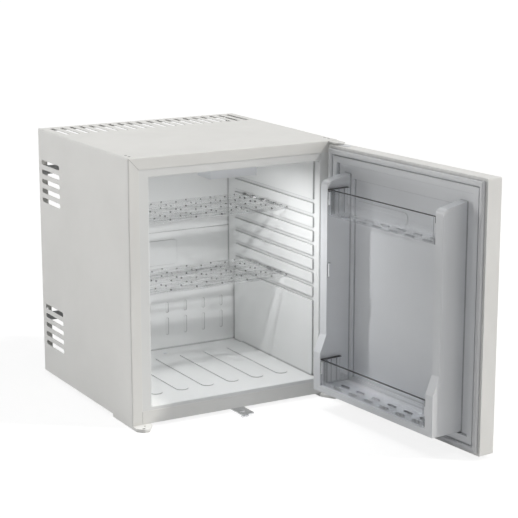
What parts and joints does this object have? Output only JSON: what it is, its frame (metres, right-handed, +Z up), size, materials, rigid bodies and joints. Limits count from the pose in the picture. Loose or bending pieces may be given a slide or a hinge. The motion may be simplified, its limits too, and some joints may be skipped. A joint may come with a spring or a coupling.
{
  "type": "minibar fridge",
  "caption": "Small white absorption minibar fridge with an open side-hinged door, clear perforated shelves, clear door racks, an inner lamp and vent slots.",
  "frame": {"origin": "on the floor, under the centre of the cabinet's 400 by 377 mm shell; the door stands open beyond it", "axes": "+X to the right seen from the front (the hinge side), +Y from the front to the back, +Z up"},
  "size_m": [0.4379, 0.7873, 0.457],
  "materials": {
    "cabinet_shell": "white enamel",
    "base_pan": "white enamel",
    "inner_liner": "white formed sheet",
    "cabinet_foam": "rigid foam",
    "rear_panel": "white enamel",
    "lamp_housing": "white moulded",
    "lamp_lens": "frosted",
    "lamp_board": "circuit board",
    "hinge_plate": "white enamel on steel",
    "hinge_screws": "zinc plated",
    "top_plugs": "grey plugs",
    "hinge_pin_upper": "steel",
    "hinge_pin_lower": "steel",
    "foot_bracket_right": "white enamel on steel",
    "foot_bracket_left": "white enamel on steel",
    "bracket_screws": "zinc plated",
    "rear_feet": "hard plastic",
    "catch_tongue": "chromed steel",
    "tongue_screws": "zinc plated",
    "control_box": "moulded",
    "control_board": "circuit board",
    "power_inlet": "moulded",
    "heater_lead": "sleeved lead",
    "thermostat_probe": "steel",
    "drain_tube": "moulded",
    "drip_tray": "moulded",
    "riser_tube": "black paint on steel",
    "condenser_fins": "black paint on aluminium",
    "boiler_casing": "galvanised sheet",
    "heater_cartridge": "steel",
    "evaporator_plate": "plain",
    "evaporator_coil": "coated steel",
    "absorber_vessel": "black paint on steel",
    "absorber_coil": "black paint on steel",
    "evaporator_pipes": "black paint on steel",
    "return_pipe": "black paint on steel",
    "unit_straps": "galvanised strip",
    "strap_screws": "zinc plated",
    "unit_clamps": "moulded",
    "door_skin": "white enamel",
    "door_liner": "white formed sheet",
    "door_foam": "rigid foam",
    "door_gasket": "soft light grey seal",
    "gasket_magnet": "magnet strip",
    "door_bush_upper": "moulded",
    "door_bush_lower": "moulded",
    "lock_cylinder": "chromed",
    "lock_cam": "zinc plated",
    "door_rack_upper": "clear",
    "door_rack_lower": "clear",
    "shelf_upper": "clear",
    "shelf_lower": "clear"
  },
  "bodies": {
    "cabinet": {"cabinet_shell": "cabinet_shell", "base_pan": "base_pan", "inner_liner": "inner_liner", "cabinet_foam": "cabinet_foam", "rear_panel": "rear_panel", "lamp_housing": "lamp_housing", "lamp_lens": "lamp_lens", "lamp_board": "lamp_board", "hinge_plate": "hinge_plate", "hinge_screws": "hinge_screws", "top_plugs": "top_plugs", "hinge_pin_upper": "hinge_pin_upper", "hinge_pin_lower": "hinge_pin_lower", "foot_bracket_right": "foot_bracket_right", "foot_bracket_left": "foot_bracket_left", "bracket_screws": "bracket_screws", "rear_feet": "rear_feet", "catch_tongue": "catch_tongue", "tongue_screws": "tongue_screws", "control_box": "control_box", "control_board": "control_board", "power_inlet": "power_inlet", "heater_lead": "heater_lead", "thermostat_probe": "thermostat_probe", "drain_tube": "drain_tube", "drip_tray": "drip_tray", "riser_tube": "riser_tube", "condenser_fins": "condenser_fins", "boiler_casing": "boiler_casing", "heater_cartridge": "heater_cartridge", "evaporator_plate": "evaporator_plate", "evaporator_coil": "evaporator_coil", "absorber_vessel": "absorber_vessel", "absorber_coil": "absorber_coil", "evaporator_pipes": "evaporator_pipes", "return_pipe": "return_pipe", "unit_straps": "unit_straps", "strap_screws": "strap_screws", "unit_clamps": "unit_clamps"},
    "door": {"door_skin": "door_skin", "door_liner": "door_liner", "door_foam": "door_foam", "door_gasket": "door_gasket", "gasket_magnet": "gasket_magnet", "door_bush_upper": "door_bush_upper", "door_bush_lower": "door_bush_lower", "lock_cylinder": "lock_cylinder"},
    "cam": {"lock_cam": "lock_cam"},
    "rack_upper": {"door_rack_upper": "door_rack_upper"},
    "rack_lower": {"door_rack_lower": "door_rack_lower"},
    "shelf_up": {"shelf_upper": "shelf_upper"},
    "shelf_low": {"shelf_lower": "shelf_lower"}
  },
  "joints": [
    {"name": "door_hinge", "type": "hinge", "parent": "cabinet", "child": "door", "pos_m": [0.1892, -0.2087, 0.2], "axis": [0, 0, 1], "range_deg": [-94.8, 25]},
    {"name": "lock_turn", "type": "hinge", "parent": "door", "child": "cam", "pos_m": [0.20712, -0.39706, 0.018], "axis": [0.9965, 0.0837, 0], "range_deg": [0, 90]},
    {"name": "rack_upper_lift", "type": "slide", "parent": "door", "child": "rack_upper", "axis": [0, 0, 1], "range_m": [0, 0.014]},
    {"name": "rack_lower_lift", "type": "slide", "parent": "door", "child": "rack_lower", "axis": [0, 0, 1], "range_m": [0, 0.014]},
    {"name": "shelf_upper_slide", "type": "slide", "parent": "cabinet", "child": "shelf_up", "axis": [0, -1, 0], "range_m": [0, 0.046]},
    {"name": "shelf_lower_slide", "type": "slide", "parent": "cabinet", "child": "shelf_low", "axis": [0, -1, 0], "range_m": [0, 0.046]}
  ]
}
